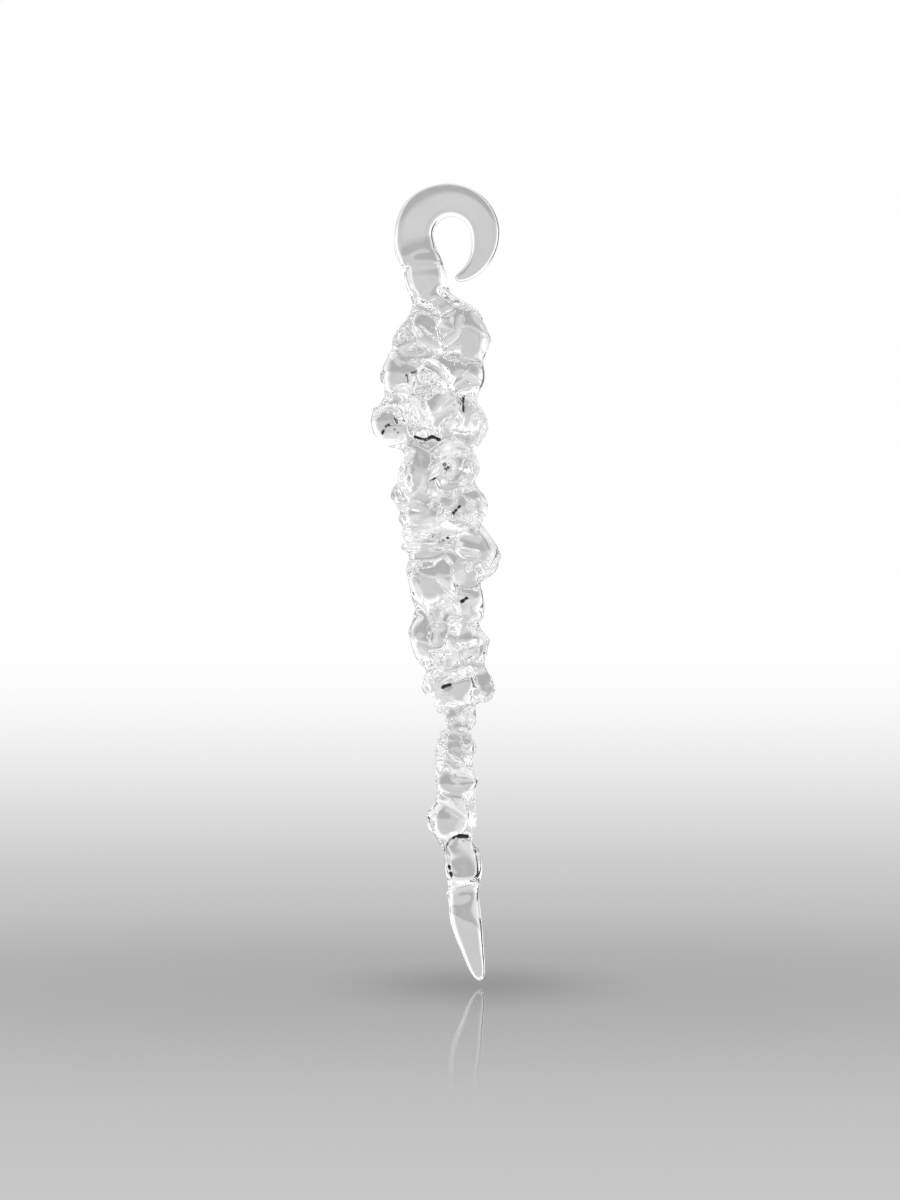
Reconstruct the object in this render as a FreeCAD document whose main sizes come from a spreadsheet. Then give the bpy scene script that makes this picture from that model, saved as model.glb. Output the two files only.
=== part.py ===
"""Solid glass icicle ornament: a bent hook, a drawn tip, and the fused gathers of hot glass between them.

Millimetres, +Z up. The origin is where a twig or wire bears on the inside of the hook, and the icicle hangs
below it. X runs to the right of the icicle seen from the front, and Y runs away from the front.
"""
import math
import os

import FreeCAD
import Part
from FreeCAD import Vector

# Overall sizes. The glass is drawn up at drawn_length, and every size follows icicle_length in proportion.
DRIVING = {
    "icicle_length": 140.0,
    "drawn_length": 140.0,
    "ring_drop": 3.85,
    "tip_seam_x": 1.9,
    "tip_seam_z": -117.6,
    "tip_seam_lean": -20.0,
}

# The hook's rod from its foot on the neck round to its tip: its centre's angle clockwise from the top of the
# ring and distance from the ring's centre, the section's own turn, rod radius, and how far the rod leans back.
HOOK_STATIONS = [
    (-134.1, 6.82, -90.0, 3.50, 0.0),
    (-113.0, 6.45, -92.0, 3.35, 0.0),
    (-90.0, 6.40, -88.0, 3.10, 0.0),
    (-52.0, 6.50, -52.0, 3.05, 0.0),
    (-16.0, 6.45, -16.0, 2.70, 0.0),
    (20.0, 6.40, 20.0, 2.55, 0.1),
    (56.0, 6.35, 56.0, 2.45, 0.4),
    (92.0, 6.20, 92.0, 2.30, 1.2),
    (122.0, 6.40, 122.0, 1.90, 2.3),
    (148.0, 6.85, 144.0, 1.45, 3.2),
    (168.0, 7.15, 164.0, 1.05, 3.9),
    (177.0, 7.25, 172.0, 0.65, 4.1),
]

# The drawn tip from above its seam down to its end: centre across, height, rod radius.
TIP_STATIONS = [
    (1.70, -113.5, 3.05),
    (2.10, -118.0, 3.15),
    (2.70, -122.5, 3.10),
    (3.30, -126.0, 2.78),
    (4.15, -129.5, 2.18),
    (4.80, -132.2, 1.72),
    (5.12, -133.6, 1.25),
    (5.25, -134.6, 0.45),
]

# The gathers from the neck down: centre x, y, z, half width, half depth, half height, and lean,
# clockwise seen from the front.
GATHERS = {
    "neck_collar": (-4.20, 0.0, -11.2, 4.0, 4.0, 5.4, -12.0),
    "throat_gather": (-2.30, 0.0, -15.3, 5.2, 4.2, 2.9, 28.0),
    "shoulder_gather": (-2.40, -0.8, -19.4, 5.2, 5.0, 4.6, 0.0),
    "left_shoulder": (-6.60, 0.6, -22.4, 3.9, 4.3, 3.6, -25.0),
    "right_shoulder": (3.50, 0.4, -21.2, 3.7, 4.6, 5.0, -14.0),
    "upper_left_knot": (-8.30, 0.4, -28.2, 4.0, 4.9, 4.7, 8.0),
    "upper_front_knot": (-3.50, -1.0, -27.2, 4.9, 5.8, 4.0, 0.0),
    "upper_right_knot": (2.30, 0.8, -28.1, 3.9, 5.4, 4.1, 12.0),
    "great_knot": (-2.60, -0.6, -34.8, 6.2, 6.4, 5.6, 0.0),
    "left_lobe": (-10.1, 0.3, -36.5, 3.9, 4.5, 4.5, -22.0),
    "right_lobe": (3.80, 1.0, -37.0, 3.1, 4.7, 3.9, -8.0),
    "under_gather": (-2.0, 0.1, -41.4, 6.7, 5.4, 2.9, 0.0),
    "left_coil": (-4.60, -0.4, -46.0, 4.5, 5.6, 4.9, 10.0),
    "right_coil": (1.60, -0.8, -44.2, 3.5, 4.6, 3.4, 0.0),
    "left_bead": (-9.10, 0.0, -49.0, 1.8, 2.4, 2.0, 0.0),
    "middle_knot": (-4.30, 0.2, -52.8, 5.5, 5.9, 4.0, 6.0),
    "right_roll": (2.90, 0.6, -51.2, 4.0, 5.0, 4.1, 20.0),
    "tongue_roll": (-4.60, -1.0, -57.0, 4.9, 5.2, 2.1, 2.0),
    "right_heel": (4.50, 0.2, -59.2, 4.5, 5.2, 5.0, -18.0),
    "waist_gather": (-2.40, -0.2, -63.2, 5.6, 5.4, 6.3, 20.0),
    "right_waist": (3.00, 0.6, -67.2, 3.1, 4.3, 4.2, -10.0),
    "left_flap": (-3.70, 0.6, -74.6, 3.3, 4.2, 5.6, -14.0),
    "lower_front_knot": (0.70, -0.8, -75.4, 4.6, 4.6, 5.0, 0.0),
    "right_flap": (4.10, 0.4, -76.2, 3.2, 4.0, 4.0, 10.0),
    "lower_knot": (0.20, 0.0, -81.8, 5.2, 4.9, 5.4, 12.0),
    "right_spur": (5.30, 0.8, -81.6, 2.6, 3.2, 4.3, -12.0),
    "wrist_gather": (1.00, 0.0, -87.6, 3.6, 3.8, 3.6, 0.0),
    "lower_bead": (0.95, -0.2, -93.2, 3.8, 3.9, 3.6, 8.0),
    "ring_gather": (1.05, 0.2, -99.0, 4.2, 4.1, 3.5, 14.0),
    "bulge_gather": (0.10, -0.2, -105.6, 4.2, 4.2, 5.2, 20.0),
    "side_spur": (3.60, 0.2, -106.2, 1.5, 2.4, 3.0, -6.0),
    "last_gather": (2.30, 0.0, -113.6, 3.6, 3.6, 6.4, -5.0),
}
# The straight rod up the middle that the gathers are laid on, from the neck to the drawn tip: centre across,
# height and radius at each end.
CORE_ENDS = {"core_top": (-4.0, -12.5, 3.0), "core_foot": (2.0, -114.5, 2.6)}

# Canes trailed round the gathers and half sunk in them: the gather, the turn's lean clockwise seen from the
# front, its pitch towards the back, where the cane starts round the turn and how far it sweeps, how far along
# the turn's axis it sits from the gather's centre, the turn's radius and the cane's own.
CANES = {
    "knot_cane": ("great_knot", 50.0, -12.0, -150.0, 120.0, 1.4, 5.95, 0.75),
    "arc_cane": ("left_coil", 84.0, 15.0, 130.0, 110.0, -2.2, 4.3, 0.65),
    "coil_cane": ("right_roll", 0.0, 84.0, -150.0, 240.0, 3.4, 2.85, 0.6),
    "waist_cane": ("waist_gather", 60.0, 10.0, -160.0, 130.0, -1.5, 5.1, 0.75),
    "fold_cane": ("lower_knot", 16.0, 0.0, -165.0, 140.0, 0.8, 4.8, 0.65),
    "wrap_cane": ("lower_bead", -35.0, 8.0, -170.0, 200.0, 0.2, 3.6, 0.7),
    "ring_cane": ("ring_gather", 18.0, 0.0, -175.0, 190.0, 1.0, 3.85, 0.6),
    "bulge_cane": ("bulge_gather", 40.0, 0.0, -160.0, 130.0, -1.4, 4.1, 0.65),
}
ROOM = 40.0  # half the side of the blocks that stand for half a space

doc = FreeCAD.newDocument("icicle")
dims = doc.addObject("Spreadsheet::Sheet", "dims")


def name_sizes(sizes, owner, parts, values):
    for part, value in zip(parts, values, strict=True):
        sizes[f"{owner}_{part}"] = value


def fill_sheet():
    """Puts every size into the sheet, each under its alias, and lets the sheet work them out."""
    sizes = dict(DRIVING)
    for number, station in enumerate(HOOK_STATIONS):
        name_sizes(sizes, f"hook_{number}", ("angle", "reach", "turn", "radius", "back"), station)
    for number, station in enumerate(TIP_STATIONS):
        name_sizes(sizes, f"tip_{number}", ("across", "height", "radius"), station)
    for name, end in CORE_ENDS.items():
        name_sizes(sizes, name, ("across", "height", "radius"), end)
    gather_sizes = ("x", "y", "z", "half_width", "half_depth", "half_height", "lean")
    for name, gather in GATHERS.items():
        name_sizes(sizes, name, gather_sizes, gather)
    cane_sizes = ("lean", "pitch", "start", "sweep", "away", "turn", "thick")
    for name, laid in CANES.items():
        name_sizes(sizes, name, cane_sizes, laid[1:])
    for row, (alias, value) in enumerate(sizes.items(), start=1):
        dims.set(f"A{row}", alias)
        dims.set(f"B{row}", str(value))
        dims.setAlias(f"B{row}", alias)
    doc.recompute()


def scaled(alias):
    """The expression for a length in the sheet, in proportion to the icicle."""
    return f"dims.{alias} * dims.icicle_length / dims.drawn_length"


def read(alias):
    """The same length as a number."""
    return dims.get(alias) * dims.icicle_length / dims.drawn_length


def bind(obj, **expressions):
    for prop, expression in expressions.items():
        obj.setExpression(prop.replace("__", "."), expression)


def place(obj, x, y, z):
    bind(obj, Placement__Base__x=x, Placement__Base__y=y, Placement__Base__z=z)


def lean(obj, angle):
    """Turns an object about Y by an expression's angle: clockwise, seen from the front."""
    obj.Placement.Rotation = FreeCAD.Rotation(Vector(0, 1, 0), 1)
    bind(obj, Placement__Rotation__Angle=angle)


def loft(name, sections):
    solid = doc.addObject("Part::Loft", name)
    solid.Sections = sections
    solid.Solid = True
    solid.Ruled = False
    return solid


def hook():
    """The bent rod: a circle at each station, lofted."""
    sections = []
    for number in range(len(HOOK_STATIONS)):
        tag = f"hook_{number}"
        ring = doc.addObject("Part::Circle", f"{tag}_ring")
        out, at = scaled(f"{tag}_reach"), f"dims.{tag}_angle * 1 deg"
        bind(ring, Radius=scaled(f"{tag}_radius"))
        across, height = f"{out} * sin({at})", f"{out} * cos({at}) - {scaled('ring_drop')}"
        place(ring, across, scaled(f"{tag}_back"), height)
        lean(ring, f"dims.{tag}_turn + 90")
        sections.append(ring)
    return loft("hook", sections)


def tip_blank():
    """The drawn end of the icicle, running up inside the last gather."""
    sections = []
    for number in range(len(TIP_STATIONS)):
        tag = f"tip_{number}"
        ring = doc.addObject("Part::Circle", f"{tag}_ring")
        bind(ring, Radius=scaled(f"{tag}_radius"))
        place(ring, scaled(f"{tag}_across"), "0", scaled(f"{tag}_height"))
        sections.append(ring)
    return loft("tip_blank", sections)


def core_rod():
    """The tapered rod between the neck and the tip, with its axis through its two end points."""
    rise = f"({scaled('core_top_height')} - {scaled('core_foot_height')})"
    shift = f"({scaled('core_top_across')} - {scaled('core_foot_across')})"
    rod = doc.addObject("Part::Cone", "core_rod")
    bind(
        rod,
        Radius1=scaled("core_foot_radius"),
        Radius2=scaled("core_top_radius"),
        Height=f"sqrt({rise} ^ 2 + {shift} ^ 2)",
    )
    place(rod, scaled("core_foot_across"), "0", scaled("core_foot_height"))
    lean(rod, f"atan2({shift}; {rise})")
    return rod


def gather_blank(name):
    """The whole ellipsoid that a gather is cut from."""
    blob = doc.addObject("Part::Ellipsoid", f"{name}_blank")
    blob.Angle1, blob.Angle2, blob.Angle3 = -90, 90, 360
    bind(
        blob,
        Radius1=scaled(f"{name}_half_height"),
        Radius2=scaled(f"{name}_half_width"),
        Radius3=scaled(f"{name}_half_depth"),
    )
    place(blob, *(scaled(f"{name}_{axis}") for axis in "xyz"))
    lean(blob, f"dims.{name}_lean")
    return blob


def cane_blank(name, host):
    """An arc of a ring round its gather, whole."""
    arc = doc.addObject("Part::Torus", f"{name}_blank")
    bind(
        arc,
        Radius1=scaled(f"{name}_turn"),
        Radius2=scaled(f"{name}_thick"),
        Angle3=f"dims.{name}_sweep",
    )
    turn = FreeCAD.Rotation(Vector(0, 1, 0), dims.get(f"{name}_lean"))
    turn *= FreeCAD.Rotation(Vector(1, 0, 0), dims.get(f"{name}_pitch"))
    turn *= FreeCAD.Rotation(Vector(0, 0, 1), dims.get(f"{name}_start"))
    middle = Vector(*(read(f"{host}_{axis}") for axis in "xyz"))
    way = turn.multVec(Vector(0, 0, 1))
    arc.Placement = FreeCAD.Placement(middle + way * read(f"{name}_away"), turn)
    return arc


class Blob:
    """A gather's ellipsoid as a formula: where it is, and how deep a point lies in it."""

    def __init__(self, blank):
        self.centre = blank.Placement.Base
        self.turn = blank.Placement.Rotation
        self.half = (blank.Radius2.Value, blank.Radius3.Value, blank.Radius1.Value)

    def slope(self, point):
        """Half the gradient of the ellipsoid's quadratic form at a point."""
        local = self.turn.inverted().multVec(point - self.centre)
        scaled = Vector(*(c / r**2 for c, r in zip(local, self.half)))
        return self.turn.multVec(scaled)

    def reach(self, direction):
        """From the centre to the surface along a unit direction."""
        return 1 / math.sqrt(direction.dot(self.slope(self.centre + direction)))


def seam(one, other):
    """Where two gathers fuse: a point of the flat seam between them, and its normal, towards the other."""
    span = other.centre - one.centre
    way = Vector(span).normalize()
    mine, its = one.reach(way) ** 2, other.reach(way) ** 2
    point = one.centre + way * ((span.Length**2 + mine - its) / (2 * span.Length))
    normal = one.slope(point) * mine - other.slope(point) * its
    return point, normal.normalize()


def seams(name):
    """The seams of one gather with every gather whose room overlaps its own."""
    box = blanks[name].Shape.BoundBox
    near = [other for other in blanks if other != name and box.intersect(blanks[other].Shape.BoundBox)]
    return [seam(blobs[name], blobs[other]) for other in near]


def beyond(point, normal):
    """A block filling the space past a plane, on its normal's side."""
    block = Part.makeBox(2 * ROOM, 2 * ROOM, ROOM, Vector(-ROOM, -ROOM, 0))
    block.Placement = FreeCAD.Placement(point, FreeCAD.Rotation(Vector(0, 0, 1), normal))
    return block


def hook_foot():
    """The height of the flat where the hook's rod ends on the neck."""
    return read("hook_0_reach") * math.cos(math.radians(dims.hook_0_angle)) - read("ring_drop")


def cell_of(name, blank, flats):
    """The room a piece has: a block round its blank, cut back at its flat seams."""
    box = blank.Shape.BoundBox
    corner = Vector(box.XMin - 1, box.YMin - 1, box.ZMin - 1)
    room = Part.makeBox(box.XLength + 2, box.YLength + 2, box.ZLength + 2, corner)
    for point, normal in flats:
        room = room.cut(beyond(point, normal))
    feature = doc.addObject("Part::Feature", f"{name}_cell")
    feature.Shape = room
    return feature


def cut(name, base, tool):
    result = doc.addObject("Part::Cut", name)
    result.Base, result.Tool = base, tool
    return result


def common(name, base, tool):
    result = doc.addObject("Part::Common", name)
    result.Base, result.Tool = base, tool
    return result


fill_sheet()
hook_rod = hook()
tip = tip_blank()
core = core_rod()
blanks = {name: gather_blank(name) for name in GATHERS}
hosts = {name: laid[0] for name, laid in CANES.items()}
arcs = {name: cane_blank(name, host) for name, host in hosts.items()}
doc.recompute()

blobs = {name: Blob(blank) for name, blank in blanks.items()}
foot = (Vector(0, 0, hook_foot()), Vector(0, 0, 1))
tip_way = FreeCAD.Rotation(Vector(0, 1, 0), dims.tip_seam_lean).multVec(Vector(0, 0, 1))
tip_seam = Vector(read("tip_seam_x"), 0, read("tip_seam_z"))
seams_of = {name: seams(name) for name in blanks}
seams_of["neck_collar"].append(foot)
seams_of["last_gather"].append((tip_seam, -tip_way))

pieces = {"hook": hook_rod, "core_rod": core}
for name, blank in blanks.items():
    whole = common(f"{name}_whole", blank, cell_of(name, blank, seams_of[name]))
    pieces[name] = cut(f"{name}_on_core", whole, core)
pieces["drawn_tip"] = common("drawn_tip_cut", tip, cell_of("drawn_tip", tip, [(tip_seam, tip_way)]))
for name, host in hosts.items():
    arc = arcs[name]
    trimmed = common(f"{name}_trimmed", arc, cell_of(name, arc, seams_of[host]))
    pieces[name] = cut(f"{name}_laid", trimmed, blanks[host])
for name, piece in pieces.items():
    piece.Label = name
doc.recompute()

os.makedirs("parts", exist_ok=True)
for old in os.listdir("parts"):
    os.remove(os.path.join("parts", old))
for obj in doc.Objects:
    if "Invalid" in obj.State or "Error" in obj.State:
        raise RuntimeError(f"{obj.Name} failed: {obj.State}")
for name, obj in pieces.items():
    shape = obj.Shape
    if shape.isNull() or not shape.isValid() or len(shape.Solids) != 1:
        raise RuntimeError(f"{name} is not one valid solid")
    print(name, round(shape.Volume, 1))
    shape.exportStep(f"parts/{name}.step")
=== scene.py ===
"""The glass icicle ornament: its fused gathers melted into one skin of clear glass, on a pale studio floor.

Lengths are in metres in Blender, as in the frame, and in millimetres while the glass is being shaped.
"""

import math

import bpy
import numpy as np
import openvdb as vdb
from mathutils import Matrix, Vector


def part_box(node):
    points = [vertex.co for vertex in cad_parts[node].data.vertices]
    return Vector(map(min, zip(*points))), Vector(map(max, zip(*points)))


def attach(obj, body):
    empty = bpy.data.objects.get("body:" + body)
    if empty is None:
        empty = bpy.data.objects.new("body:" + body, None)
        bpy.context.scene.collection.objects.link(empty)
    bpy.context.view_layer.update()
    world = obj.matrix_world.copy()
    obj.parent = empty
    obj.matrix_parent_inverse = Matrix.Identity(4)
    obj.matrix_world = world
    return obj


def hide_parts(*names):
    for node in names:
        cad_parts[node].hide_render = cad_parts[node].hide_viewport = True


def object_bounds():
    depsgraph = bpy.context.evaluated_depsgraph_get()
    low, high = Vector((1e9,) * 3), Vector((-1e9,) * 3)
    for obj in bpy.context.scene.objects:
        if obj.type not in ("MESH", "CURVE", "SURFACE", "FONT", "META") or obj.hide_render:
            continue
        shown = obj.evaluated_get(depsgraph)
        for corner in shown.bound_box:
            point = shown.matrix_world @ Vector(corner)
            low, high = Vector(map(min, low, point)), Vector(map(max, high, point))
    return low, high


MM = 1000.0  # millimetres in a metre
VOXEL = 0.17  # mm, the spacing of the grid the glass is melted on
BAND = 12  # voxels of distance kept each side of the skin
MARGIN = 2.4  # mm of grid round the object
SWELL = 1.7  # mm the skin is grown by while the notches between the gathers fill
MELT = 0.62  # mm, how far the heat has run one gather into the next
LUMP = 0.10  # mm, the spread of the slow lumps in the skin
VEIN_CELL = 4.0  # mm between the knots of the noise that the folds follow
VEIN_RISE = 0.45  # mm that a fold stands proud
DEEPEST = 0.7  # mm, how far below the melted skin a tool may go
FINISH = 0.3  # mm, the spread of the last softening in the flame
JOINT_DEPTH = 0.07  # mm off the skin, past which a piece's face is a joint and not skin

GLASS_IOR = 1.5
PAINTED_HIGHLIGHT_SHARE = 0.42  # how much of a fold's crest gets the painted highlight: whitened glass that glows a little

# The studio's brightness: the wall behind, the walls beside it, and the strips on those.
WALL_GREY = 0.605
RIGHT_WHITE, LEFT_WHITE = 1.4, 1.2
BRIGHT_STRIP, SIDE_GREY, NEAR_GREY = 1.6, 0.55, 0.74
BLACK = 0.02
LOW_LIGHT = 0.71  # how bright it is below the icicle's middle, as a share of above it

FLOOR_GREY = 0.505  # under the icicle
FLOOR_GLOSS = 0.36  # the share of the floor's light that is a reflection, at the tip
REFLECTED = 0.70  # what that reflection is of, on the whole
SHADOW = 0.78  # how bright the middle of the shadow is
SHADOW_WIDE, SHADOW_LONG = 0.24, 0.5  # its half sizes, in heights of the icicle

CAMERA_AWAY = 6.4  # heights of the icicle
FRAME_HEIGHT = 1.5
FRAME_MIDDLE = 0.519  # down the icicle from its top

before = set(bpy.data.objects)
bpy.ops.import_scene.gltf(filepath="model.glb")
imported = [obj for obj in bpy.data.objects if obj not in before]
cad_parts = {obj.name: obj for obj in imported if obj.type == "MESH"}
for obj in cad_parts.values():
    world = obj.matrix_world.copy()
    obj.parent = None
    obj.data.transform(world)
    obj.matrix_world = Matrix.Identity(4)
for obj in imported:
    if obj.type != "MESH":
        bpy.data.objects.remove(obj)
cad_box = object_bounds()
NODES = sorted(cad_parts)
LOW = np.array(cad_box[0]) * MM - MARGIN
HIGH = np.array(cad_box[1]) * MM + MARGIN
SHAPE = tuple(int(n) + 1 for n in (HIGH - LOW) / VOXEL)
SMOOTH_NODES = ("hook", "neck_collar", "drawn_tip", "last_gather")
# Nodes pressed flat front and back: how thick they are left, and how square their edges are.
PRESSED = {"hook": (0.74, 8), "drawn_tip": (0.95, 7)}


# ---------------------------------------------------------------- the melted skin


def points_of(node):
    """A CAD node's corners in mm and its triangles."""
    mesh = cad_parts[node].data
    mesh.calc_loop_triangles()
    corners = np.empty(len(mesh.vertices) * 3, np.float32)
    mesh.vertices.foreach_get("co", corners)
    triangles = np.empty(len(mesh.loop_triangles) * 3, np.int32)
    mesh.loop_triangles.foreach_get("vertices", triangles)
    return corners.reshape(-1, 3) * MM, triangles.reshape(-1, 3)


def window(low, high):
    """The part of the grid between two corners in mm, and the index of its first point."""
    start = np.clip(((low - LOW) / VOXEL).astype(int), 0, np.array(SHAPE) - 2)
    stop = np.clip(((high - LOW) / VOXEL).astype(int) + 2, start + 1, SHAPE)
    return tuple(slice(i, j) for i, j in zip(start, stop)), start


def distance(points, triangles=None, quads=None):
    """The signed distance in mm from a closed skin, and the part of the grid that it is given for."""
    at = ((points - LOW) / VOXEL).astype(np.float32)
    grid = vdb.FloatGrid.createLevelSetFromPolygons(at, triangles=triangles, quads=quads, halfWidth=BAND)
    reach = BAND * VOXEL
    part, start = window(points.min(0) - reach, points.max(0) + reach)
    field = np.empty([s.stop - s.start for s in part], np.float32)
    grid.copyToArray(field, ijk=tuple(int(i) for i in start))
    return field * VOXEL, part


def skin(field, level=0.0, start=(0, 0, 0)):
    """The points in mm and quads of the surface of a field that begins at a point of the grid."""
    grid = vdb.FloatGrid(9.0)
    grid.copyFromArray(np.ascontiguousarray(field), tolerance=0.0)
    points, quads = grid.convertToQuads(isovalue=level)
    return (points + start) * VOXEL + LOW, quads


def outer_shell(points, quads):
    """Only the largest connected part of a skin, without the bubbles shut in under it."""
    group = np.arange(len(points))
    first, second = quads.ravel(), np.roll(quads, -1, axis=1).ravel()
    while True:
        low = np.minimum(group[first], group[second])
        joined = group.copy()
        np.minimum.at(joined, group[first], low)
        np.minimum.at(joined, group[second], low)
        joined = joined[joined]
        if (joined == group).all():
            break
        group = joined
    sizes = np.bincount(group)
    kept = group == sizes.argmax()
    index = np.cumsum(kept) - 1
    return points[kept], index[quads[kept[quads[:, 0]]]].astype(np.uint32)


def blur(field, spread):
    """The field smoothed by a bell curve of that spread in mm."""
    sigma = spread / VOXEL
    reach = math.ceil(2.5 * sigma)
    weights = np.exp(-0.5 * (np.arange(-reach, reach + 1) / sigma) ** 2)
    weights = (weights / weights.sum()).astype(np.float32)
    for axis in range(3):
        padded = np.pad(field, [(reach, reach) if a == axis else (0, 0) for a in range(3)], "edge")
        total = np.zeros_like(field)
        for step, weight in enumerate(weights):
            shifted = [slice(None)] * 3
            shifted[axis] = slice(step, step + field.shape[axis])
            total += weight * padded[tuple(shifted)]
        field = total
    return field


def node_distances():
    """How far the grid's points are from each CAD node: a field, and the part of the grid it covers."""
    return {node: distance(*points_of(node)) for node in NODES}


def melted_union(shares):
    """Every CAD node's glass run into one, with the notches filled everywhere but in the hook."""
    field = np.full(SHAPE, BAND * VOXEL, np.float32)
    for node, (near, part) in shares.items():
        if node in PRESSED:
            near = pressed_flat(near, part, *PRESSED[node])
        if node != "hook":
            np.minimum(field[part], near, out=field[part])
    points, quads = outer_shell(*skin(field, SWELL))
    closed, part = distance(points, quads=quads)
    field[part] = closed + SWELL
    near, part = shares["hook"]
    np.minimum(field[part], pressed_flat(near, part, *PRESSED["hook"]), out=field[part])
    return blur(field, MELT)


class Cells:
    """Which CAD node each bit of the melted glass came from."""

    def __init__(self, shares):
        self.shares = shares
        self.nearest = np.full(SHAPE, BAND * VOXEL, np.float32)
        self.second = self.nearest.copy()
        self.owner = np.full(SHAPE, -1, np.int16)
        for index, (near, part) in enumerate(shares.values()):
            before = self.nearest[part]
            closer = near < before
            self.second[part] = np.where(closer, before, np.minimum(self.second[part], near))
            self.nearest[part] = np.where(closer, near, before)
            self.owner[part][closer] = index

    def cut(self, field, node):
        """The field of one node's share of the glass, and the part of the grid that it is given for."""
        near, part = self.shares[node]
        own = self.owner[part] == list(self.shares).index(node)
        beyond = near - np.where(own, self.second[part], self.nearest[part])
        return np.maximum(field[part], beyond), part


def pressed_flat(near, part, squash, power):
    """A round rod's field once its front and back are pressed flat and its edges kept round."""
    ys = (LOW[1] + VOXEL * np.arange(part[1].start, part[1].stop)).astype(np.float32)
    inside = near < 0
    depth = np.clip(-near.min(axis=1), 0.02, None)
    half = inside.sum(axis=1) * VOXEL / 2
    weight = depth**2 * (half > 0)
    total = np.maximum(blur(weight[:, None, :], 0.8), 1e-6)
    radius = blur(((half**2 / depth + depth) / 2 * weight)[:, None, :], 0.8) / total
    centre = (ys[None, :, None] * inside).sum(axis=1) / np.maximum(inside.sum(axis=1), 1)
    centre = blur((centre * weight)[:, None, :], 0.8) / total
    depth = depth[:, None, :]
    radius = np.maximum(radius, depth)
    thick = squash * radius * (1 - (1 - depth / radius) ** power) ** (1 / power)
    flat = np.abs(ys[None, :, None] - centre) - thick
    return np.where((half > 0)[:, None, :], flat, near)


def knot_weights(count, cell, length):
    """How much each knot of a row counts at each point of the grid, as a smooth spline."""
    at = np.arange(length) * VOXEL / cell + 1.0
    far = np.abs(at[:, None] - np.arange(count)[None, :])
    near = 2 / 3 - far**2 + far**3 / 2
    outer = np.clip(2 - far, 0, None) ** 3 / 6
    return np.where(far < 1, near, outer).astype(np.float32)


def noise(rng, cell):
    """Smooth random hills over the whole grid, of about one unit's spread."""
    counts = [int(n * VOXEL / c) + 4 for n, c in zip(SHAPE, cell)]
    knots = rng.normal(size=counts).astype(np.float32)
    for axis in range(3):
        weights = knot_weights(counts[axis], cell[axis], SHAPE[axis])
        knots = np.moveaxis(np.tensordot(weights, knots, axes=(1, axis)), 0, axis)
    return knots / knots.std()


# ---------------------------------------------------------------- shaping the hot glass


class Gob:
    """The hot glass: a field on the grid, and the tools that shape it."""

    def __init__(self, field):
        self.field = field
        # Layers of painted highlight and painted shade, laid on as the glass is worked.
        self.pale = np.zeros_like(field)
        self.painted_shade = np.zeros_like(field)
        self.ys = LOW[1] + VOXEL * np.arange(SHAPE[1])

    def fold(self, hills, width, rise, where):
        """Raises a thread of glass along the places where hills cross zero, with a painted highlight along
        its crest.
        """
        ridge = np.clip(1 - np.abs(hills) / width, 0, 1)
        ridge = ridge * ridge * (3 - 2 * ridge) * where
        self.field -= rise * ridge
        np.maximum(self.pale, ridge, out=self.pale)

    def drape(self, x, z):
        """The point of the front skin at (x, z), or None where there is no glass."""
        i = int(np.clip(round((x - LOW[0]) / VOXEL), 0, SHAPE[0] - 1))
        k = int(np.clip(round((z - LOW[2]) / VOXEL), 0, SHAPE[2] - 1))
        inside = np.nonzero(self.field[i, :, k] < 0)[0]
        if len(inside) == 0:
            return None
        return np.array([x, self.ys[inside[0]], z])

    def slope(self, point):
        """The outward direction at a point near the skin, measured over three voxels each way."""
        at = np.round((point - LOW) / VOXEL).astype(int)
        last = np.array(SHAPE) - 1
        out = np.zeros(3)
        for axis, step in enumerate(3 * np.eye(3, dtype=int)):
            ahead, behind = np.clip(at + step, 0, last), np.clip(at - step, 0, last)
            out[axis] = self.field[tuple(ahead)] - self.field[tuple(behind)]
        return out / (np.linalg.norm(out) + 1e-9)

    def room(self, low, high):
        """The grid between two corners: the part of the field, and its points."""
        part, start = window(low, high)
        axes = [LOW[a] + VOXEL * np.arange(part[a].start, part[a].stop) for a in range(3)]
        return part, np.meshgrid(*axes, indexing="ij", sparse=True)

    def facet(self, point, normal, depth, radius, bulge=0.0, edge=0.5):
        """Presses a flat, or a shallow dome, into the skin with a paddle."""
        part, (x, y, z) = self.room(point - radius, point + radius)
        dx, dy, dz = x - point[0], y - point[1], z - point[2]
        far = np.sqrt(dx * dx + dy * dy + dz * dz)
        flat = dx * normal[0] + dy * normal[1] + dz * normal[2] + depth
        flat = flat + bulge * (far / radius) ** 2
        here = self.field[part]
        gap = np.clip(edge - np.abs(here - flat), 0, None)
        pressed = np.maximum(here, flat) + gap * gap / (4 * edge)
        fade = np.clip((radius - far) / (0.3 * radius), 0, 1)
        fade = fade * fade * (3 - 2 * fade)
        self.field[part] = here + fade * (pressed - here)

    def stroke(self, path, width, blend=0.5, dig=False):
        """Lays a thread of glass along a path with a painted highlight on it, or digs a crease with painted
        shade in it.
        """
        path = np.asarray(path)
        reach = width + 3 * blend
        part, grid = self.room(path.min(0) - reach, path.max(0) + reach)
        far = np.min([rod_distance(grid, *ends) for ends in zip(path, path[1:])], axis=0)
        edge = 0.4 if dig else 0.9
        # How strongly the painted highlight, or in a crease the painted shade, is laid on.
        glow = np.clip((1 + edge - far / width) / edge, 0, 1)
        layer = self.painted_shade if dig else self.pale
        np.maximum(layer[part], glow if dig else 0.8 * glow, out=layer[part])
        here, thread = self.field[part], far - width
        if dig:
            gap = np.clip(blend - np.abs(here + thread), 0, None)
            self.field[part] = np.maximum(here, -thread) + gap * gap / (4 * blend)
        else:
            gap = np.clip(blend - np.abs(here - thread), 0, None)
            self.field[part] = np.minimum(here, thread) - gap * gap / (4 * blend)


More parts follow.
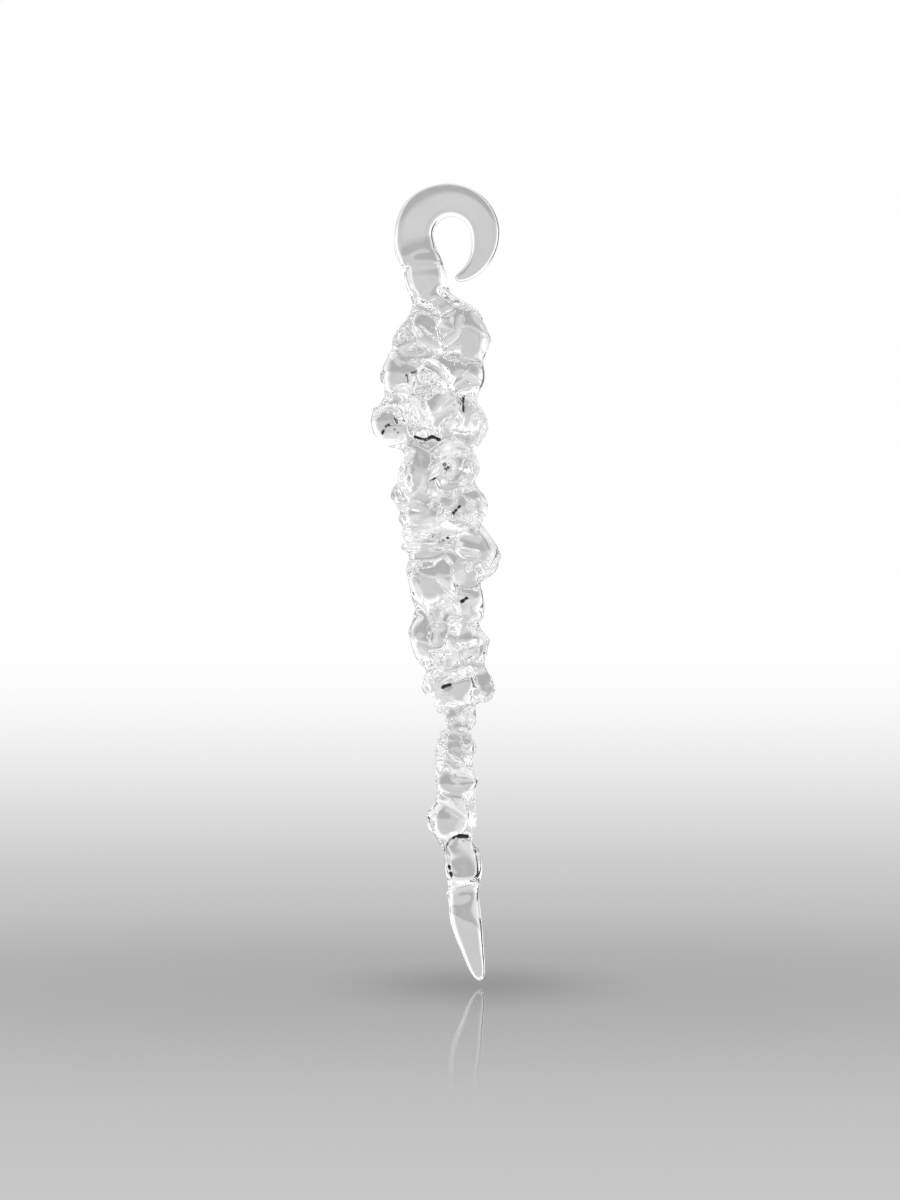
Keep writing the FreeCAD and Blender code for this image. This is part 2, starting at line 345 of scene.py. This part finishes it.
def rod_distance(grid, first, second):
    """How far each point of a bit of the grid is from a straight line between two points."""
    along = second - first
    length = max(float(along @ along), 1e-9)
    away = [axis - start for axis, start in zip(grid, first)]
    share = np.clip(sum(a * step for a, step in zip(away, along)) / length, 0, 1)
    return np.sqrt(sum((a - share * step) ** 2 for a, step in zip(away, along)))


def curve(points, per_span=6):
    """A smooth line through points, as many as it needs."""
    points = np.asarray(points, float)
    padded = np.vstack([2 * points[0] - points[1], points, 2 * points[-1] - points[-2]])
    out = []
    for before, start, stop, after in zip(padded, padded[1:], padded[2:], padded[3:]):
        for t in np.arange(per_span) / per_span:
            out.append(
                0.5 * (2 * start + (stop - before) * t + (2 * before - 5 * start + 4 * stop - after) * t**2
                       + (3 * start - before - 3 * stop + after) * t**3)
            )
    out.append(points[-1])
    return np.array(out)


def on_node(node, u, w):
    """A place in the front view, as shares of a node's box from its left and from its bottom."""
    low, high = (np.array(corner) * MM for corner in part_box(node))
    return low[0] + u * (high[0] - low[0]), low[2] + w * (high[2] - low[2])


def draped(gob, node, places, lift):
    """A smooth line on the front skin through places on a node, lifted out of it by that much."""
    line = curve([on_node(node, *place) for place in places])
    path = []
    for x, z in line:
        point = gob.drape(x, z)
        if point is not None:
            path.append(point + lift * gob.slope(point))
    return path


# Threads and creases seen from the front: the node, the places they run through as shares of its box, the
# thread's radius in mm, and how far in mm its middle stands out of the skin (minus is in it). A minus radius
# digs. Each thread gets a painted highlight and each crease painted shade. The last five are the thick trails
# that fill the edges of the thin lower part.
FRONT_LINES = [
    ("throat_gather", [(0.45, 1.0), (0.8, 0.5), (1.25, 0.0)], 0.5, 0.05),
    ("shoulder_gather", [(0.15, 0.45), (0.3, 0.2), (0.6, 0.1), (0.85, 0.3), (0.95, 0.65)], 0.45, 0.05),
    ("shoulder_gather", [(-0.05, 0.0), (0.25, 0.15), (0.6, 0.0), (0.9, 0.05)], 0.45, 0.05),
    ("right_shoulder", [(0.55, 0.85), (0.8, 0.6), (0.85, 0.25)], 0.5, 0.0),
    ("upper_front_knot", [(0.0, 0.3), (0.3, 0.45), (0.55, 0.35)], -0.3, 0.1),
    ("upper_front_knot", [(0.1, 0.6), (0.4, 0.65), (0.7, 0.45), (0.85, 0.15)], 0.42, 0.05),
    ("upper_right_knot", [(0.05, 0.35), (0.4, 0.55), (0.85, 0.35)], 0.45, 0.0),
    ("great_knot", [(0.15, 0.9), (0.2, 0.65), (0.3, 0.35)], 0.42, 0.08),
    ("great_knot", [(0.3, 0.35), (0.55, 0.5), (0.8, 0.7)], 0.42, 0.08),
    ("great_knot", [(1.0, 0.85), (1.0, 0.6), (0.95, 0.3)], 0.5, 0.05),
    ("great_knot", [(0.9, 0.8), (0.9, 0.55)], -0.28, 0.1),
    ("right_lobe", [(0.65, 0.9), (0.85, 0.55), (0.65, 0.1)], 0.42, 0.05),
    ("right_lobe", [(0.45, 0.95), (0.6, 0.55), (0.4, 0.05)], 0.4, 0.05),
    ("great_knot", [(0.2, 0.1), (0.35, 0.05), (0.45, 0.1), (0.55, 0.05)], -0.34, 0.1),
    ("left_lobe", [(0.3, 0.3), (0.45, 0.45), (0.7, 0.3)], -0.32, 0.1),
    ("left_lobe", [(0.25, 0.15), (0.5, 0.25), (0.8, 0.15)], 0.42, 0.0),
    ("left_lobe", [(0.2, 0.7), (0.5, 0.8), (0.8, 0.65)], 0.42, 0.0),
    ("left_coil", [(0.3, 0.95), (0.1, 0.65), (0.1, 0.25), (0.45, -0.1)], 0.5, 0.1),
    ("right_coil", [(-0.05, 1.0), (0.4, 1.15), (0.85, 0.85), (0.9, 0.4), (0.55, 0.0)], 0.48, 0.1),
    ("right_coil", [(0.0, 0.7), (0.15, 0.75), (0.3, 0.6), (0.2, 0.35), (0.0, 0.4)], 0.36, 0.08),
    ("left_coil", [(0.6, 0.35), (0.75, 0.45)], -0.3, 0.1),
    ("right_coil", [(0.1, 0.5), (0.2, 0.6)], -0.28, 0.1),
    ("middle_knot", [(0.45, 1.25), (0.85, 1.1), (1.25, 1.25)], 0.42, 0.0),
    ("middle_knot", [(-0.05, 0.65), (0.25, 0.8), (0.55, 0.65), (0.25, 0.45)], 0.42, 0.05),
    ("waist_gather", [(0.0, 1.15), (0.55, 1.2), (1.15, 1.05)], 0.45, 0.08),
    ("waist_gather", [(0.0, 0.95), (0.55, 0.95), (1.15, 0.85)], 0.45, 0.08),
    ("tongue_roll", [(0.9, 0.6), (1.0, 0.8)], -0.28, 0.1),
    ("right_roll", [(0.5, 0.5), (0.7, 0.6), (0.9, 0.45), (0.85, 0.2), (0.65, 0.2)], 0.38, 0.08),
    ("right_roll", [(0.15, 0.35), (0.3, 0.5)], -0.3, 0.1),
    ("right_heel", [(0.75, 1.0), (0.95, 0.65), (0.9, 0.4), (0.7, 0.15)], 0.45, 0.05),
    ("right_heel", [(0.6, 0.9), (0.8, 0.6), (0.65, 0.25)], 0.4, 0.05),
    ("waist_gather", [(0.15, 0.45), (0.25, 0.25), (0.4, 0.0), (0.5, -0.25)], 0.5, 0.1),
    ("waist_gather", [(0.55, 0.5), (0.7, 0.35), (0.85, 0.2), (1.1, 0.15)], 0.5, 0.0),
    ("right_waist", [(0.3, 0.45), (0.45, 0.55)], -0.4, 0.1),
    ("waist_gather", [(0.7, 0.15), (0.55, -0.05), (0.6, -0.25)], 0.45, 0.08),
    ("right_waist", [(0.1, -0.1), (0.5, 0.1), (0.95, 0.15)], 0.48, 0.08),
    ("left_flap", [(0.35, 0.35), (0.7, 0.2), (1.1, 0.35)], 0.42, 0.05),
    ("lower_front_knot", [(0.4, 0.5), (0.5, 0.2), (0.35, 0.0), (0.15, -0.15)], 0.48, 0.1),
    ("lower_knot", [(0.25, 0.55), (0.65, 0.7), (1.05, 0.8)], 0.45, 0.1),
    ("lower_knot", [(0.35, 0.45), (0.5, 0.5)], -0.3, 0.1),
    ("lower_knot", [(0.25, 0.7), (0.3, 0.35), (0.25, 0.1)], 0.45, 0.05),
    ("wrist_gather", [(0.4, 1.2), (0.55, 0.8), (0.7, 0.35)], 0.45, 0.1),
    ("lower_bead", [(0.05, 0.95), (0.5, 1.05), (0.95, 0.85)], 0.38, 0.05),
    ("lower_bead", [(0.15, 0.4), (0.4, 0.15), (0.65, -0.1)], 0.45, 0.08),
    ("ring_gather", [(0.65, 1.25), (0.8, 1.0), (0.7, 0.65), (0.45, 0.6)], 0.4, 0.1),
    ("ring_gather", [(-0.05, 1.1), (0.4, 0.75), (0.95, 0.55)], 0.38, 0.05),
    ("ring_gather", [(0.95, 1.05), (1.05, 0.65), (0.95, 0.3)], -0.34, 0.1),
    ("bulge_gather", [(0.3, 0.9), (0.55, 0.7), (0.75, 0.55)], 0.42, 0.08),
    ("bulge_gather", [(0.95, 0.9), (1.05, 0.7)], -0.34, 0.1),
    ("bulge_gather", [(0.75, 0.5), (0.6, 0.25), (0.45, 0.1)], 0.42, 0.08),
    ("bulge_gather", [(0.1, 0.85), (0.05, 0.6), (0.05, 0.45)], -0.3, 0.1),
    ("last_gather", [(0.0, 0.7), (0.15, 0.9), (0.35, 1.0), (0.6, 1.0)], -0.36, 0.12),
    ("last_gather", [(0.15, 0.45), (0.2, 0.3)], -0.42, 0.1),
    ("drawn_tip", [(0.0, 0.85), (0.4, 0.95), (0.85, 0.95)], 0.36, 0.0),
    ("lower_knot", [(0.1, 0.5), (0.17, 0.2), (0.28, -0.05)], 1.1, -0.35),
    ("wrist_gather", [(0.2, 1.2), (0.12, 0.75), (0.15, 0.2)], 1.1, -0.35),
    ("wrist_gather", [(0.85, 1.1), (0.9, 0.6), (0.9, 0.1)], 0.9, -0.35),
    ("lower_bead", [(0.1, 0.5), (0.1, 0.1), (0.12, -0.2)], 0.9, -0.35),
    ("bulge_gather", [(0.95, 1.0), (0.95, 0.7), (0.97, 0.4)], 0.8, -0.35),
]

# Flats pressed from the front: the node, where, the paddle's turn to the right and upwards in degrees, its
# depth and its radius in mm.
FRONT_FLATS = [
    ("shoulder_gather", 0.45, 0.55, 0, 6, 0.55, 5.2),
    ("right_shoulder", 0.5, 0.7, 25, 15, 0.6, 4.0),
    ("right_shoulder", 0.5, 0.3, 12, -15, 0.7, 4.0),
    ("great_knot", 0.5, 0.7, 0, 12, 0.9, 4.6),
    ("great_knot", 0.55, 0.25, 5, -14, 0.8, 4.6),
    ("left_coil", 0.35, 0.6, -12, 5, 0.5, 3.6),
    ("middle_knot", 0.45, 0.3, 0, -5, 0.6, 4.2),
    ("waist_gather", 0.4, 0.4, -10, 0, 0.6, 4.0),
    ("waist_gather", 0.65, 0.75, 14, 8, 0.6, 3.6),
    ("lower_front_knot", 0.6, 0.6, 5, 4, 0.6, 4.4),
    ("left_flap", 0.6, 0.35, -20, 0, 0.5, 3.6),
    ("lower_knot", 0.55, 0.45, 2, 0, 0.7, 4.8),
    ("wrist_gather", 0.4, 0.5, 0, 8, 0.45, 3.2),
    ("lower_bead", 0.3, 0.7, -6, 10, 0.4, 3.0),
    ("ring_gather", 0.5, 0.35, 5, -8, 0.45, 3.4),
    ("bulge_gather", 0.6, 0.75, 12, 16, 0.4, 3.4),
    ("bulge_gather", 0.4, 0.35, -8, -8, 0.35, 3.6),
    ("last_gather", 0.5, 0.65, 0, 6, 0.8, 5.0),
    ("neck_collar", 0.5, 0.6, 0, 4, 0.9, 5.0),
    ("throat_gather", 0.4, 0.5, 0, 4, 0.7, 4.0),
]


def turned(yaw, pitch):
    """The direction of a flat: out of the front, turned to the right and upwards by that many degrees."""
    yaw, pitch = math.radians(yaw), math.radians(pitch)
    level = math.cos(pitch)
    return np.array([math.sin(yaw) * level, -math.cos(yaw) * level, math.sin(pitch)])


def hammer_all_round(gob, rng):
    """Small flats all over the worked gathers, shallower on thin ones, with none on the hook or the tip."""
    worked = [n for n in NODES if n not in SMOOTH_NODES and not n.endswith("_cane") and n != "core_rod"]
    for node in worked:
        low, high = (np.array(corner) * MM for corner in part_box(node))
        middle, half = (low + high) / 2, (high - low) / 2
        weight = min(1.0, half.min() / 5.0)
        for _ in range(4):
            way = rng.normal(size=3) * (1.0, 1.0, 0.6)
            way /= np.linalg.norm(way)
            point = settle(gob, middle + way * half)
            if point is None:
                continue
            normal = gob.slope(point) + rng.normal(size=3) * 0.16
            normal /= np.linalg.norm(normal)
            depth, radius, bulge = rng.uniform(0.15, 0.45), rng.uniform(2.8, 4.2), rng.uniform(0, 0.3)
            gob.facet(point, normal, weight * depth, radius, bulge)


def settle(gob, point):
    """Moves a point near the skin onto it, or gives None if it is buried."""
    for _ in range(4):
        at = np.clip(np.round((point - LOW) / VOXEL).astype(int), 0, np.array(SHAPE) - 1)
        depth = gob.field[tuple(at)]
        if depth < -1.0:
            return None
        point = point - depth * gob.slope(point)
    return point


def worked_part():
    """How much each place was folded: 0 on the hook and the tip, 1 on the front between them, less behind."""
    z = LOW[2] + VOXEL * np.arange(SHAPE[2])
    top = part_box("throat_gather")[1].z * MM
    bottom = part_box("last_gather")[1].z * MM
    share = np.clip((top - z) / 5, 0, 1) * np.clip((z - bottom) / 5, 0, 1)
    y = LOW[1] + VOXEL * np.arange(SHAPE[1])
    front = np.clip(0.75 - y / 12, 0.5, 1)
    return (front[None, :, None] * (share * share * (3 - 2 * share))[None, None, :]).astype(np.float32)


def worked_glass(shares):
    """The melted glass once it is hammered, folded, pressed flat in front, trailed with threads and creased,
    with painted highlight on the folds and threads and painted shade in the creases and beside some folds.
    """
    rng = np.random.default_rng(14)
    gob = Gob(melted_union(shares))
    deepest = gob.field + DEEPEST
    where = worked_part()
    lumps = noise(rng, (4.5, 4.5, 4.5))
    gob.field += LUMP * lumps * where
    hammer_all_round(gob, rng)
    strength = np.clip(0.75 + 0.5 * noise(rng, (4.0, 4.0, 4.0)), 0, 1)
    folds = noise(rng, (VEIN_CELL, VEIN_CELL, VEIN_CELL * 0.8))
    gob.fold(folds, 0.34, VEIN_RISE, where * strength)
    cross = noise(rng, (VEIN_CELL * 1.2, VEIN_CELL * 1.2, VEIN_CELL * 1.5))
    gob.fold(cross, 0.28, VEIN_RISE * 0.8, where * (1 - 0.6 * strength))
    # Painted shade: thin black lines beside some folds, where the lumps are high.
    flank = np.clip(1 - np.abs(np.abs(folds) - 0.3) / 0.07, 0, 1)
    np.maximum(gob.painted_shade, flank * np.clip(4 * (lumps - 1.2), 0, 1) * where, out=gob.painted_shade)
    for node, u, w, yaw, pitch, depth, radius in FRONT_FLATS:
        gob.facet(gob.drape(*on_node(node, u, w)), turned(yaw, pitch), depth, radius, 0.1)
    for node, places, radius, lift in FRONT_LINES:
        path = draped(gob, node, places, lift)
        if len(path) > 1:
            gob.stroke(path, radius + 0.1 if radius > 0 else -radius, dig=radius < 0)
    gob.field = blur(np.minimum(gob.field, deepest), FINISH)
    return gob


def sampled(layer, at):
    """A layer's values between the points of the grid."""
    low = np.clip(np.floor(at).astype(int), 0, np.array(SHAPE) - 2)
    share = at - low
    total = np.zeros(len(at))
    for corner in np.ndindex(2, 2, 2):
        weight = np.prod(np.where(corner, share, 1 - share), axis=1)
        total += weight * layer[tuple((low + corner).T)]
    return total


def outward(field, at):
    """The direction out of the glass at places on the grid."""
    steps = np.eye(3) * 1.2
    slope = np.stack([sampled(field, at + step) - sampled(field, at - step) for step in steps], axis=1)
    return slope / np.maximum(np.linalg.norm(slope, axis=1, keepdims=True), 1e-9)


def glass_piece(gob, cells, node):
    """One node's share of the glass as a closed mesh: its skin, and joints where it meets its neighbours.

    Its normals come from the whole glass, so the skin is smooth across the edge between two pieces.
    """
    field, part = cells.cut(gob.field, node)
    points, quads = skin(field, 0.0, [s.start for s in part])
    at = (points - LOW) / VOXEL
    depth = np.abs(sampled(gob.field, at))
    way = outward(gob.field, at)
    mesh = quad_mesh(node + "_glass", points / MM, quads)
    faces = np.empty(len(quads) * 3, np.float32)
    mesh.polygons.foreach_get("normal", faces)
    facing = (faces.reshape(-1, 3) * way[quads].mean(axis=1)).sum(axis=1)
    fused = (depth[quads].max(axis=1) > JOINT_DEPTH) | (facing < 0.3)
    mesh.polygons.foreach_set("material_index", fused.astype(np.int32))
    mesh.normals_split_custom_set_from_vertices(way.tolist())
    # The painted highlight and painted shade go onto the mesh as layers.
    for name, layer in (("pale", gob.pale), ("painted_shade", gob.painted_shade)):
        values = sampled(layer, at).astype(np.float32)
        mesh.attributes.new(name, "FLOAT", "POINT").data.foreach_set("value", values)
    piece = bpy.data.objects.new(mesh.name, mesh)
    bpy.context.scene.collection.objects.link(piece)
    return piece


def quad_mesh(name, points, quads):
    """A smooth mesh of four-sided faces."""
    mesh = bpy.data.meshes.new(name)
    mesh.vertices.add(len(points))
    mesh.vertices.foreach_set("co", points.astype(np.float32).ravel())
    mesh.loops.add(quads.size)
    mesh.loops.foreach_set("vertex_index", quads.astype(np.int32).ravel())
    mesh.polygons.add(len(quads))
    mesh.polygons.foreach_set("loop_start", np.arange(0, quads.size, 4, dtype=np.int32))
    mesh.update(calc_edges=True)
    mesh.shade_smooth()
    return mesh


# ---------------------------------------------------------------- materials


def node_tree(name):
    """A new material with an empty node tree."""
    material = bpy.data.materials.new(name)
    material.use_nodes = True
    tree = material.node_tree
    tree.nodes.clear()
    return material, tree


def clear_glass():
    """Clear glass, with a painted highlight along the folds and threads (whitened, part-clear glass that
    glows a little) and painted shade (black, solid glass) in the creases and beside some folds.
    """
    material, tree = node_tree("clear_glass")
    wires = Wires(tree)
    out = tree.nodes.new("ShaderNodeOutputMaterial")
    clear = glass_shader(tree, (0.95, 0.955, 0.955, 1), 1.0, 0.03)
    # Painted highlight: whitened, part-clear glass with a glow of its own.
    painted_highlight_white = glass_shader(tree, (0.98, 0.98, 0.98, 1), 0.3, 0.15, 0.25)
    # Painted shade: black, solid glass.
    painted_shade_black = glass_shader(tree, (0.0, 0.0, 0.0, 1), 0.0, 0.4)
    pale = wires.ramp(named(tree, "pale"), 0.2, 0.9)
    painted_shade = wires.ramp(named(tree, "painted_shade"), 0.3, 0.8)
    folded = mix_shaders(tree, wires.math("MULTIPLY", pale, PAINTED_HIGHLIGHT_SHARE), clear, painted_highlight_white)
    tree.links.new(mix_shaders(tree, painted_shade, folded, painted_shade_black), out.inputs[0])
    return material


def fused_joint():
    """Where two gathers are fused there is nothing to see: light goes straight on."""
    material, tree = node_tree("fused_joint")
    out = tree.nodes.new("ShaderNodeOutputMaterial")
    through = tree.nodes.new("ShaderNodeBsdfTransparent")
    tree.links.new(through.outputs[0], out.inputs[0])
    return material


def glass_shader(tree, colour, clearness, roughness, glow=0.0):
    """Glass from clear, 1, to solid, 0, with a glow of its own, which is painted light."""
    shader = tree.nodes.new("ShaderNodeBsdfPrincipled")
    shader.inputs["Base Color"].default_value = colour
    shader.inputs["Transmission Weight"].default_value = clearness
    shader.inputs["Roughness"].default_value = roughness
    shader.inputs["IOR"].default_value = GLASS_IOR
    shader.inputs["Emission Color"].default_value = (1, 1, 1, 1)
    shader.inputs["Emission Strength"].default_value = glow
    return shader.outputs[0]


def named(tree, name):
    """A layer that the mesh carries."""
    node = tree.nodes.new("ShaderNodeAttribute")
    node.attribute_name = name
    return node.outputs["Fac"]


def mix_shaders(tree, amount, first, second):
    """The first shader where amount is 0, the second where it is 1."""
    node = tree.nodes.new("ShaderNodeMixShader")
    for socket, value in zip(node.inputs, (amount, first, second)):
        tree.links.new(value, socket)
    return node.outputs[0]


# ---------------------------------------------------------------- studio


class Wires:
    """A short way to write a sum in shader nodes."""

    def __init__(self, tree):
        self.tree = tree

    def math(self, kind, *values):
        """One step of arithmetic."""
        node = self.tree.nodes.new("ShaderNodeMath")
        node.operation = kind
        for socket, value in zip(node.inputs, values):
            self.feed(socket, value)
        return node.outputs[0]

    def feed(self, socket, value):
        """Gives a socket a number or another node's output."""
        if isinstance(value, (int, float)):
            socket.default_value = value
        else:
            self.tree.links.new(value, socket)

    def ramp(self, value, low, high):
        """0 up to low, 1 from high, and smooth between; high may be the smaller."""
        node = self.tree.nodes.new("ShaderNodeMapRange")
        node.interpolation_type = "SMOOTHSTEP"
        node.inputs["From Min"].default_value = low
        node.inputs["From Max"].default_value = high
        self.feed(node.inputs["Value"], value)
        return node.outputs[0]

    def band(self, value, low, high, soft):
        """1 between low and high, 0 outside, soft at both edges."""
        up = self.ramp(value, low - soft, low + soft)
        down = self.ramp(value, high - soft, high + soft)
        return self.math("SUBTRACT", up, down)

    def length(self, x, y):
        """The length of a line from its two parts."""
        return self.math("SQRT", self.math("ADD", self.math("POWER", x, 2), self.math("POWER", y, 2)))

    def mix(self, amount, first, second):
        """The first value where amount is 0, the second where it is 1."""
        node = self.tree.nodes.new("ShaderNodeMix")
        self.feed(node.inputs[0], amount)
        self.feed(node.inputs[2], first)
        self.feed(node.inputs[3], second)
        return node.outputs[0]


def studio_light(wires, x, y, z):
    """How bright the studio is along a direction of length 1.

    All angles are degrees off the line straight back from the icicle: a grey wall there, white walls beside
    it with a black strip on each that stops short of the ceiling and the floor, and grey walls at the sides
    and in front.
    """
    angle = wires.math("DEGREES", wires.math("ARCCOSINE", y))
    level = wires.ramp(wires.math("ABSOLUTE", z), 0.55, 0.4)
    walls = []
    for wall, white, strip, soft in (
        ((24, 46), RIGHT_WHITE, (50.5, 54.5), 0.5),
        ((22, 40), LEFT_WHITE, (43, 59), 1.0),
    ):
        pale = wires.mix(wires.ramp(angle, *wall), WALL_GREY, white)
        black = wires.math("MULTIPLY", wires.band(angle, *strip, soft), level)
        walls.append(wires.mix(black, pale, BLACK))
    light = wires.mix(wires.ramp(x, 0.25, -0.25), *walls)
    for strip, soft, bright in (
        ((64, 76), 3.0, BRIGHT_STRIP),
        ((82, 114), 5.0, SIDE_GREY),
        ((122, 150), 5.0, NEAR_GREY),
    ):
        light = wires.mix(wires.band(angle, *strip, soft), light, bright)
    return wires.math("MULTIPLY", light, wires.mix(wires.ramp(z, 0.02, -0.055), 1.0, LOW_LIGHT))


def studio_world():
    """White to the camera, and the studio's walls to the glass."""
    world = bpy.data.worlds.new("studio")
    bpy.context.scene.world = world
    world.use_nodes = True
    tree = world.node_tree
    tree.nodes.clear()
    wires = Wires(tree)
    out = tree.nodes.new("ShaderNodeOutputWorld")
    coordinates = tree.nodes.new("ShaderNodeTexCoord")
    split = tree.nodes.new("ShaderNodeSeparateXYZ")
    tree.links.new(coordinates.outputs["Generated"], split.inputs[0])
    light = studio_light(wires, *split.outputs)
    path = tree.nodes.new("ShaderNodeLightPath")
    shade = wires.mix(path.outputs["Is Camera Ray"], light, 1.0)
    background = tree.nodes.new("ShaderNodeBackground")
    background.inputs["Color"].default_value = (1, 1, 1, 1)
    tree.links.new(shade, background.inputs["Strength"])
    tree.links.new(background.outputs[0], out.inputs[0])


def light_from(tree, wires, geometry, middle_z):
    """The studio's light along the line from the icicle's middle to a point of the floor."""
    away = tree.nodes.new("ShaderNodeVectorMath")
    away.operation = "SUBTRACT"
    tree.links.new(geometry.outputs["Position"], away.inputs[0])
    away.inputs[1].default_value = (0, 0, middle_z)
    unit = tree.nodes.new("ShaderNodeVectorMath")
    unit.operation = "NORMALIZE"
    tree.links.new(away.outputs[0], unit.inputs[0])
    split = tree.nodes.new("ShaderNodeSeparateXYZ")
    tree.links.new(unit.outputs[0], split.inputs[0])
    return studio_light(wires, *split.outputs)


def studio_floor(low_z, centre, size):
    """White far away, a soft grey under the icicle, with a shadow and a faint gloss where the tip stands."""
    bpy.ops.mesh.primitive_circle_add(vertices=96, radius=90 * size, fill_type="NGON")
    floor = bpy.context.object
    floor.name = "studio_floor"
    floor.location = (0, 0, low_z)
    material, tree = node_tree("studio_floor")
    wires = Wires(tree)
    out = tree.nodes.new("ShaderNodeOutputMaterial")
    geometry = tree.nodes.new("ShaderNodeNewGeometry")
    split = tree.nodes.new("ShaderNodeSeparateXYZ")
    tree.links.new(geometry.outputs["Position"], split.inputs[0])
    x = wires.math("DIVIDE", wires.math("SUBTRACT", split.outputs[0], centre.x), size)
    y = wires.math("DIVIDE", wires.math("SUBTRACT", split.outputs[1], centre.y), size)
    radius = wires.length(x, y)
    nearness = wires.math("DIVIDE", CAMERA_AWAY, wires.math("ADD", radius, CAMERA_AWAY))
    shade = wires.mix(wires.ramp(nearness, 0.09, 0.93), 1.0, FLOOR_GREY)
    across, back = wires.math("DIVIDE", x, SHADOW_WIDE), wires.math("DIVIDE", y, SHADOW_LONG)
    shadow = wires.ramp(wires.length(across, back), 1.0, 0.0)
    shade = wires.math("MULTIPLY", shade, wires.mix(shadow, 1.0, SHADOW))
    gloss_share = wires.math("MULTIPLY", wires.ramp(radius, 1.7, 0.2), FLOOR_GLOSS)
    kept = wires.math("SUBTRACT", shade, wires.math("MULTIPLY", gloss_share, REFLECTED))
    shade = wires.math("DIVIDE", kept, wires.math("SUBTRACT", 1.0, gloss_share))
    path = tree.nodes.new("ShaderNodeLightPath")
    wall = light_from(tree, wires, geometry, low_z + size / 2)
    shade = wires.mix(path.outputs["Is Camera Ray"], wall, shade)
    emission = tree.nodes.new("ShaderNodeEmission")
    tree.links.new(shade, emission.inputs["Strength"])
    gloss = tree.nodes.new("ShaderNodeBsdfGlossy")
    gloss.inputs["Roughness"].default_value = 0.03
    tree.links.new(mix_shaders(tree, gloss_share, emission.outputs[0], gloss.outputs[0]), out.inputs[0])
    floor.data.materials.append(material)


def camera(top, height):
    """Level with the middle of the icicle and square to its front."""
    away = CAMERA_AWAY * height
    view = bpy.data.cameras.new("camera")
    view.sensor_width = 36
    view.lens = view.sensor_width * away / (FRAME_HEIGHT * height)
    view.clip_start, view.clip_end = 0.01, 100
    shot = bpy.data.objects.new("camera", view)
    bpy.context.scene.collection.objects.link(shot)
    shot.location = (0, -away, top - FRAME_MIDDLE * height)
    shot.rotation_euler = (math.radians(90), 0, 0)
    bpy.context.scene.camera = shot


glass = clear_glass()
joint = fused_joint()
shares = node_distances()
cells = Cells(shares)
gob = worked_glass(shares)
for node in NODES:
    piece = glass_piece(gob, cells, node)
    piece.data.materials.append(glass)
    piece.data.materials.append(joint)
    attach(piece, "root")
    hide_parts(node)

low, high = cad_box
height = high.z - low.z
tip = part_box("drawn_tip")
tip_end = Vector((tip[1].x - 0.0015, (tip[0].y + tip[1].y) / 2, low.z))
studio_world()
studio_floor(low.z, tip_end, height)
camera(high.z, height)

scene = bpy.context.scene
scene.view_settings.view_transform = "Standard"
scene.cycles.max_bounces = 24
scene.cycles.transmission_bounces = 24
scene.cycles.transparent_max_bounces = 64
scene.cycles.glossy_bounces = 8
